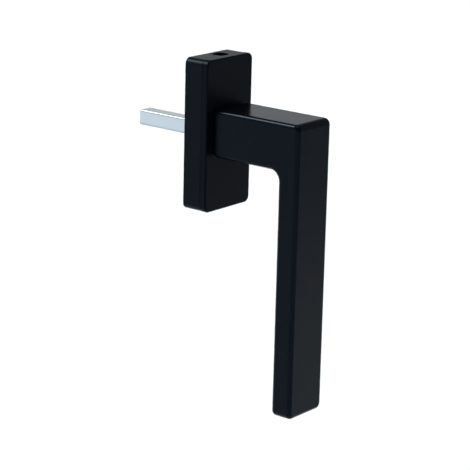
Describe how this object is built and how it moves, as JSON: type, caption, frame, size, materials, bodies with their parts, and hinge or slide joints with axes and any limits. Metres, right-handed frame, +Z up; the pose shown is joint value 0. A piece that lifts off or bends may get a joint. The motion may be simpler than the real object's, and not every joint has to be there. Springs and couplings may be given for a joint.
{
  "type": "window handle",
  "caption": "Rectangular rosette window handle: an L-shaped lever turns in detents and drives a square spindle; a cap lifts off the rosette to uncover the fixing holes.",
  "frame": {"origin": "the point where the spindle axis meets the mounting face of the rosette, midway between the two fixing holes", "axes": "+Y along the spindle into the sash; +Z up, from the hanging grip towards the spindle; +X to the right for someone in the room"},
  "size_m": [0.032, 0.0995, 0.1585],
  "materials": {
    "lever_black": "satin black powder coat",
    "housing_black": "satin black powder coat",
    "cap_black": "satin black powder coat",
    "plated_steel": "bright zinc plated",
    "zinc_plate": "zinc plated sheet",
    "zinc_screw": "zinc plated",
    "hard_steel": "hardened and oiled",
    "spring_steel": "bright spring steel",
    "plunger_brass": "turned",
    "bearing_plastic": "moulded, natural",
    "sleeve_plastic": "moulded"
  },
  "bodies": {
    "rosette": {"housing": "housing_black", "back_plate": "zinc_plate", "plate_screws": "zinc_screw", "neck_bush": "bearing_plastic", "cone_spring": "spring_steel", "locating_sleeve_upper": "sleeve_plastic", "locating_sleeve_lower": "sleeve_plastic", "cap_spring_upper": "spring_steel", "cap_spring_lower": "spring_steel", "detent_spring_upper": "spring_steel", "detent_spring_lower": "spring_steel"},
    "lever": {"lever": "lever_black", "spindle": "plated_steel", "spindle_pin": "spring_steel", "detent_disc": "hard_steel", "thrust_washer": "hard_steel", "retaining_ring": "spring_steel"},
    "cap": {"front_cap": "cap_black", "cap_ring": "bearing_plastic"},
    "plunger_upper": {"detent_plunger_upper": "plunger_brass"},
    "plunger_lower": {"detent_plunger_lower": "plunger_brass"}
  },
  "joints": [
    {"name": "lever_turn", "type": "hinge", "parent": "rosette", "child": "lever", "pos_m": [0, 0, 0], "axis": [0, 1, 0], "continuous": true},
    {"name": "cap_lift", "type": "slide", "parent": "rosette", "child": "cap", "axis": [0, -1, 0], "range_m": [0, 0.00115]},
    {"name": "plunger_upper_press", "type": "slide", "parent": "rosette", "child": "plunger_upper", "axis": [0, 0, -1], "range_m": [0, 0.0006], "stiffness_N_per_m": 1500, "deforming": ["detent_spring_upper"]},
    {"name": "plunger_lower_press", "type": "slide", "parent": "rosette", "child": "plunger_lower", "axis": [0, 0, 1], "range_m": [0, 0.0006], "stiffness_N_per_m": 1500, "deforming": ["detent_spring_lower"]}
  ]
}
